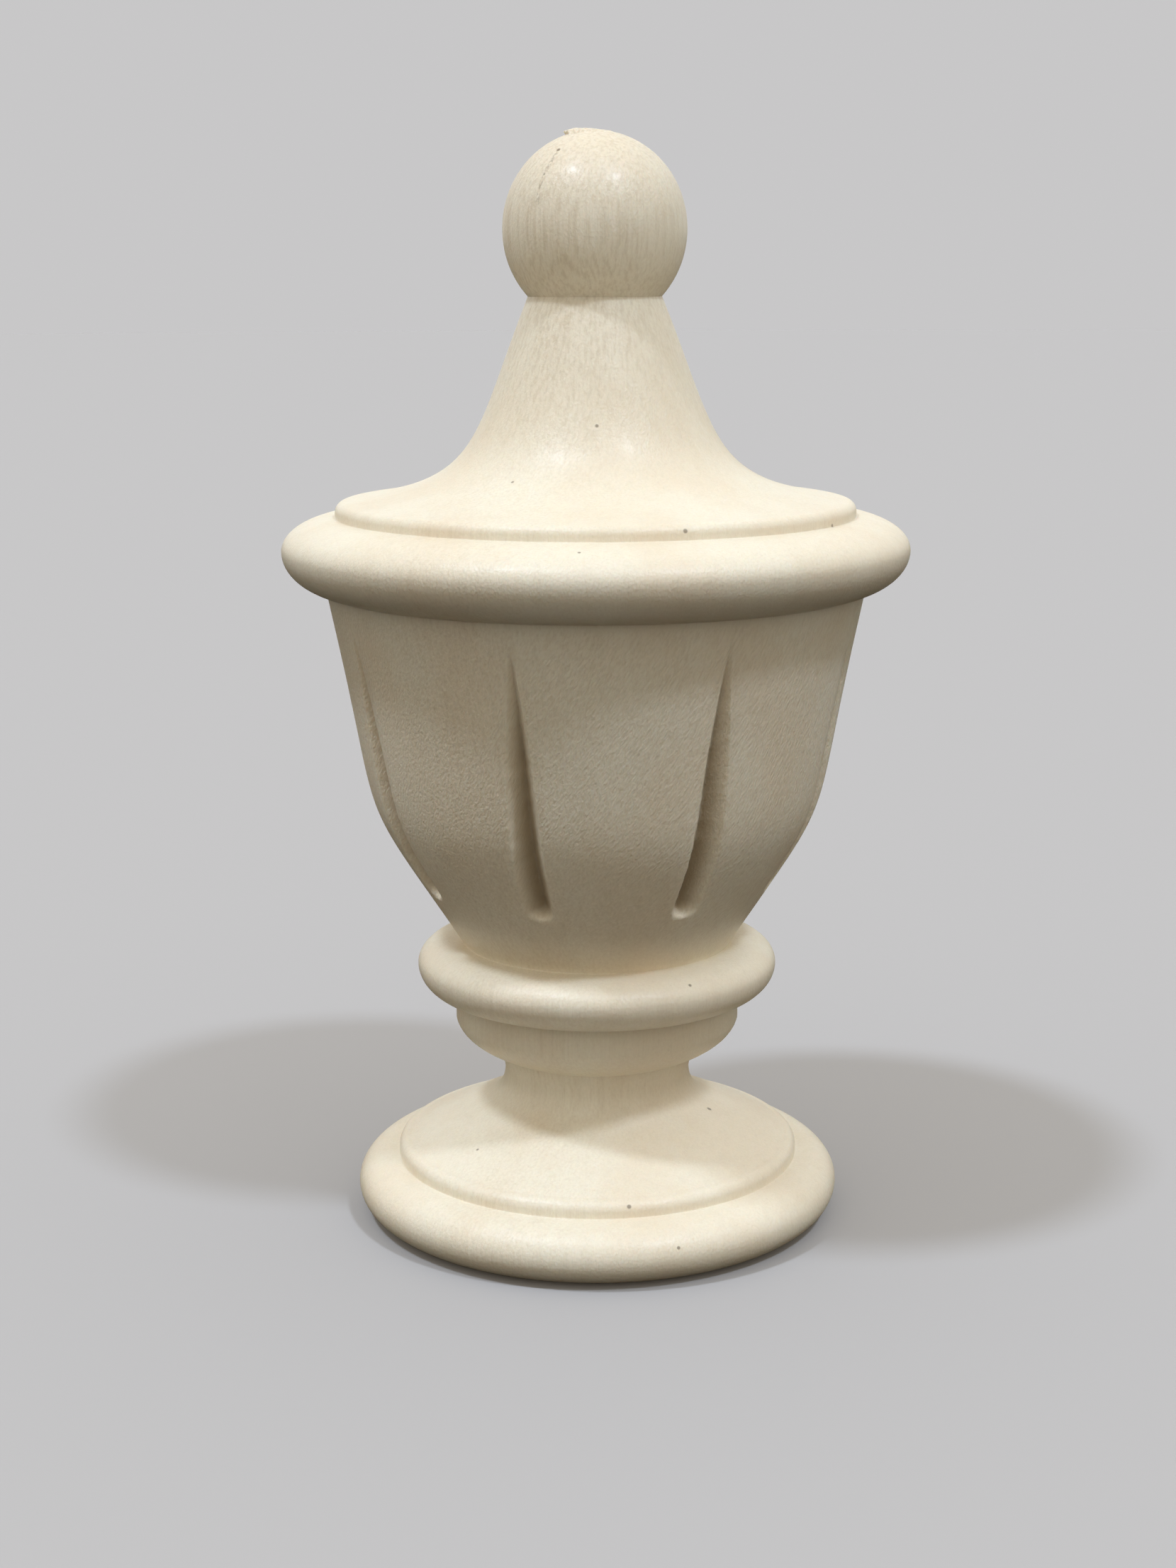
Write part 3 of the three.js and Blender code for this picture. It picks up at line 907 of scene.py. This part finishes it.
def wood_material(settings):
    """Bare, pale hardwood: solid upright grain with growth lines, fibre bundles, pores, warmer
    patches and torn fibres on the bowl, all worked out from the place in the wood. Painted shade
    darkens the bowl towards its foot, and the grooves by their depth, which the mesh keeps at each
    point."""
    wood = settings.wood
    outline = Outline(settings)
    graph = Graph(bpy.data.materials.new("pale_bare_hardwood"))
    point = graph.node("ShaderNodeTexCoord", output="Object")
    zone = ring_zone(graph, point, wood)
    lines = growth_lines(graph, point, wood) * zone
    fibres = graph.noise(point, wood.fibre_width, wood.fibre_length, 3.0)
    streaks = graph.ramp(fibres, *STREAK_LEVELS) * zone
    bundles = graph.noise(point, 4 * wood.fibre_width, 4 * wood.fibre_length, 2.0)
    pores = graph.noise(point, wood.pore_width, wood.pore_length, 1.0)
    pore_mask = graph.ramp(pores, *PORE_LEVELS)
    patches = graph.noise(point, *PATCHES)
    grit = graph.noise(point, *GRIT)
    leaning = graph.node(
        "ShaderNodeMapping",
        {"vector_type": "TEXTURE"},
        {"Vector": point, "Rotation": (0.0, wood.fuzz_lean, 0.0)},
    )
    torn = graph.noise(leaning, wood.fuzz_width, wood.fuzz_length, 2.0)
    height = graph.node("ShaderNodeSeparateXYZ", None, {0: point}, "Z")
    low = outline.ring_high
    high = outline.rim_low
    edge = 1 * MILLIMETRE
    fuzz_start = 8 * MILLIMETRE
    foot_shade_reach = 15 * MILLIMETRE
    on_bowl = graph.ramp(height, low, low + edge) * graph.ramp(height, high - edge, high, 1.0, 0.0)
    fuzz = (torn - 0.5) * on_bowl * graph.ramp(height, low, low + fuzz_start)
    over_neck = graph.ramp(height, outline.lid_low, outline.neck_high, UNDER_NECK, 1.0)
    burnish = wood.burnish * (1 - on_bowl) * over_neck
    # Painted shade: the bowl darkens towards its foot over the ring, in place of the shade that falls
    # there
    painted_foot_shade = graph.ramp(height, low + edge, low + foot_shade_reach, 1.0, 0.0) * on_bowl
    darkening = (
        BASE_TINT
        + lines * RING_TINT
        + streaks * over_neck * STREAK_TINT
        + painted_foot_shade * FOOT_SHADE_TINT
        + graph.ramp(bundles, *BUNDLE_LEVELS) * BUNDLE_TINT
        + pore_mask * PORE_TINT
        + (grit - 0.5) * GRIT_TINT
        - fuzz * FUZZ_TINT
    )
    colour = graph.mix(graph.ramp(patches, *PATCH_LEVELS), opaque(wood.pale), opaque(wood.warm))
    colour = graph.mix(darkening, colour, opaque(wood.dark))
    torn_line = graph.ramp(grit, *HAIR_LEVELS)
    colour = dark_marks(graph, point, outline, torn_line, colour)
    # Painted shade: the grooves darken towards the carved colour by their depth, in place of the shade
    # inside them; torn wood on the stub takes part of it as its own colour
    cut = graph.node("ShaderNodeAttribute", {"attribute_name": SHADE_AND_TEAR_ATTRIBUTE}, output="Fac")
    colour = graph.mix(graph.ramp(cut, *SHADE_AND_TEAR_LEVELS), colour, opaque(wood.carved))
    relief = (
        (fibres - 0.5) * FIBRE_RELIEF
        + (pores - 0.5) * PORE_RELIEF
        + (grit - 0.5) * GRIT_RELIEF
        + fuzz * FUZZ_RELIEF
    )
    raised = {"Strength": 1.0, "Distance": wood.relief, "Height": relief}
    normal = graph.node("ShaderNodeBump", None, raised, "Normal")
    roughness = wood.roughness + (fibres - 0.5) * FIBRE_ROUGHNESS + pore_mask * PORE_ROUGHNESS
    shader = graph.node(
        "ShaderNodeBsdfPrincipled",
        None,
        {
            "Base Color": colour,
            "Roughness": roughness,
            "Normal": normal,
            "Coat Weight": burnish,
            "Coat Roughness": COAT_ROUGHNESS,
            "IOR": WOOD_IOR,
            "Subsurface Weight": SPREAD_WEIGHT,
            "Subsurface Radius": SPREAD_COLOUR,
            "Subsurface Scale": SPREAD_DEPTH,
        },
    )
    graph.node("ShaderNodeOutputMaterial", None, {"Surface": shader})
    return graph.owner


def floor_material(stage):
    """Plain pale matt floor."""
    graph = Graph(bpy.data.materials.new("pale_floor"))
    shader = graph.node(
        "ShaderNodeBsdfPrincipled",
        None,
        {"Base Color": opaque(stage.floor_colour), "Roughness": 1.0, "Specular IOR Level": 0.0},
    )
    graph.node("ShaderNodeOutputMaterial", None, {"Surface": shader})
    return graph.owner


def even_air(stage):
    """World that lights the finial evenly from every side above the floor, and faintly from below."""
    world = bpy.data.worlds.new("even_air")
    graph = Graph(world)
    sight = graph.node("ShaderNodeTexCoord", output="Generated")
    height = graph.node("ShaderNodeSeparateXYZ", None, {0: sight}, "Z")
    all_low = -0.02
    all_air = -0.01
    above = graph.ramp(height, all_low, all_air)
    colour = graph.mix(above, opaque(stage.low_colour), opaque(stage.air_colour))
    strength = stage.low_strength + above * (stage.air_strength - stage.low_strength)
    background = graph.node("ShaderNodeBackground", None, {"Color": colour, "Strength": strength})
    graph.node("ShaderNodeOutputWorld", None, {"Surface": background})
    return world


def place(data):
    """Puts a mesh, a lamp or a camera into the scene as an object at the origin."""
    made = bpy.data.objects.new(data.name, data)
    bpy.context.scene.collection.objects.link(made)
    return made


def direction(turn, rise):
    """Direction that lies turn from -Y towards +X, and rise over the floor."""
    level = math.cos(rise)
    return Vector((math.sin(turn) * level, -math.cos(turn) * level, math.sin(rise)))


class FINIAL_OT_turned_wood(bpy.types.Operator):
    """Build the turned wooden finial in place of the plain model"""

    bl_idname = "finial.turned_wood"
    bl_label = "Build turned finial"

    def execute(self, context):
        settings = context.scene.urn_finial
        piece = place(closed_surface(PIECE_NAME, *finial_points(settings)))
        piece.data.materials.append(wood_material(settings))
        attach(piece, "root")
        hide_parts(CAD_NODE)
        low, high = np.array(CAD_BOX)
        corners = np.array([vertex.co for vertex in piece.data.vertices])
        if (corners < low - BOX_SLACK).any() or (corners > high + BOX_SLACK).any():
            raise RuntimeError("the turned finial leaves the box of the packed model")
        self.report({"INFO"}, f"{len(piece.data.polygons)} faces")
        return {"FINISHED"}


class FINIAL_OT_stage(bpy.types.Operator):
    """Build the floor, the lamps and the camera"""

    bl_idname = "finial.stage"
    bl_label = "Build stage"

    def execute(self, context):
        stage = context.scene.urn_finial.stage
        self.build_floor(stage)
        self.build_backdrop(stage)
        self.build_lamp("left_lamp", stage, stage.left_turn, stage.left_rise, stage.left_strength)
        self.build_lamp("right_lamp", stage, stage.right_turn, stage.right_rise, stage.right_strength)
        self.build_camera(context, stage)
        context.scene.world = even_air(stage)
        context.scene.view_settings.view_transform = "Standard"
        return {"FINISHED"}

    def build_floor(self, stage):
        """Flat disc under the finial. It takes light and shadow, and throws none back up."""
        corners = 128
        angle = np.linspace(0, 2 * math.pi, corners, endpoint=False)
        rim = np.stack([np.cos(angle), np.sin(angle), np.zeros(corners)], axis=1) * stage.floor_radius
        mesh = bpy.data.meshes.new("pale_floor")
        mesh.from_pydata(rim.tolist(), [], [list(range(corners))])
        floor = place(mesh)
        mesh.materials.append(floor_material(stage))
        floor.visible_diffuse = False
        floor.visible_glossy = False

    def build_backdrop(self, stage):
        """Half dome over the floor that only the camera sees: its points lie at floor radius x
        (cos(rise) cos(turn), cos(rise) sin(turn), sin(rise)). Its tone is the lit floor's: floor
        colour x (air + the sum of lamp x sin(lamp's rise) / pi)."""
        air = Vector(stage.air_colour) * stage.air_strength
        lamps = stage.left_strength * math.sin(stage.left_rise)
        lamps += stage.right_strength * math.sin(stage.right_rise)
        light = air + Vector(stage.lamp_colour) * lamps / math.pi
        tone = tuple(part * lit for part, lit in zip(stage.floor_colour, light))
        turns = 64
        rises = 16
        steepest = 0.49 * math.pi
        turn = np.linspace(0, 2 * math.pi, turns, endpoint=False)[None, :]
        rise = np.linspace(0, steepest, rises)[:, None]
        level = np.cos(rise)
        dome = np.stack(
            [level * np.cos(turn), level * np.sin(turn), np.sin(rise) * np.ones_like(turn)], axis=-1
        ) * stage.floor_radius
        quads = band_faces(rises - 1, turns)[:, ::-1]
        cap = [(rises - 1) * turns + corner for corner in range(turns)]
        mesh = bpy.data.meshes.new("pale_backdrop")
        mesh.from_pydata(dome.reshape(-1, 3).tolist(), [], quads.tolist() + [cap[::-1]])
        graph = Graph(bpy.data.materials.new("pale_backdrop"))
        glow = graph.node("ShaderNodeEmission", None, {"Color": opaque(tone)})
        graph.node("ShaderNodeOutputMaterial", None, {"Surface": glow})
        mesh.materials.append(graph.owner)
        backdrop = place(mesh)
        backdrop.visible_diffuse = False
        backdrop.visible_glossy = False
        backdrop.visible_transmission = False
        backdrop.visible_shadow = False

    def build_lamp(self, name, stage, turn, rise, strength):
        """Soft, distant lamp."""
        light = bpy.data.lights.new(name, "SUN")
        light.angle = stage.lamp_spread
        light.color = stage.lamp_colour
        light.energy = strength
        lamp = place(light)
        towards = direction(stage.camera_side + turn, rise)
        lamp.location = towards
        lamp.rotation_euler = towards.to_track_quat("Z", "Y").to_euler()

    def build_camera(self, context, stage):
        """Camera at the photograph's viewing angle."""
        data = bpy.data.cameras.new("front_camera")
        data.lens = stage.camera_lens
        camera = place(data)
        position = direction(stage.camera_side, 0) * stage.camera_distance
        position.z = stage.camera_height
        turn = Matrix.Rotation(stage.camera_side + stage.camera_heading, 4, "Z")
        tilt = Matrix.Rotation(math.pi / 2 - stage.camera_pitch, 4, "X")
        roll = Matrix.Rotation(stage.camera_roll, 4, "Z")
        camera.matrix_world = Matrix.Translation(position) @ turn @ tilt @ roll
        context.scene.camera = camera


class FINIAL_PT_panel(bpy.types.Panel):
    """Sizes, finish and stage of the finial"""

    bl_idname = "FINIAL_PT_panel"
    bl_label = "Urn finial"
    bl_space_type = "VIEW_3D"
    bl_region_type = "UI"
    bl_category = "Finial"

    def draw(self, context):
        settings = context.scene.urn_finial
        for name in FinialSettings.__annotations__:
            box = self.layout.box()
            box.label(text=name.capitalize())
            group = getattr(settings, name)
            for field in type(group).__annotations__:
                box.prop(group, field)
        for operator in OPERATORS:
            self.layout.operator(operator.bl_idname)


SHAPES = (FinialBase, FinialStem, FinialRing, FinialBowl, FinialRim, FinialLid, FinialBall)
GROUPS = (*SHAPES, FinialGrooves, FinialMesh, FinialWood, FinialStage, FinialSettings)
OPERATORS = (FINIAL_OT_turned_wood, FINIAL_OT_stage)


def register():
    """Registers the settings, the operators and the panel."""
    for group in (*GROUPS, *OPERATORS, FINIAL_PT_panel):
        bpy.utils.register_class(group)
    bpy.types.Scene.urn_finial = PointerProperty(type=FinialSettings)


def unregister():
    """Takes them away again."""
    del bpy.types.Scene.urn_finial
    for group in (FINIAL_PT_panel, *OPERATORS, *reversed(GROUPS)):
        bpy.utils.unregister_class(group)


def main():
    """Builds the finial and its stage."""
    register()
    bpy.ops.finial.turned_wood()
    bpy.ops.finial.stage()


if __name__ == "__main__":
    main()
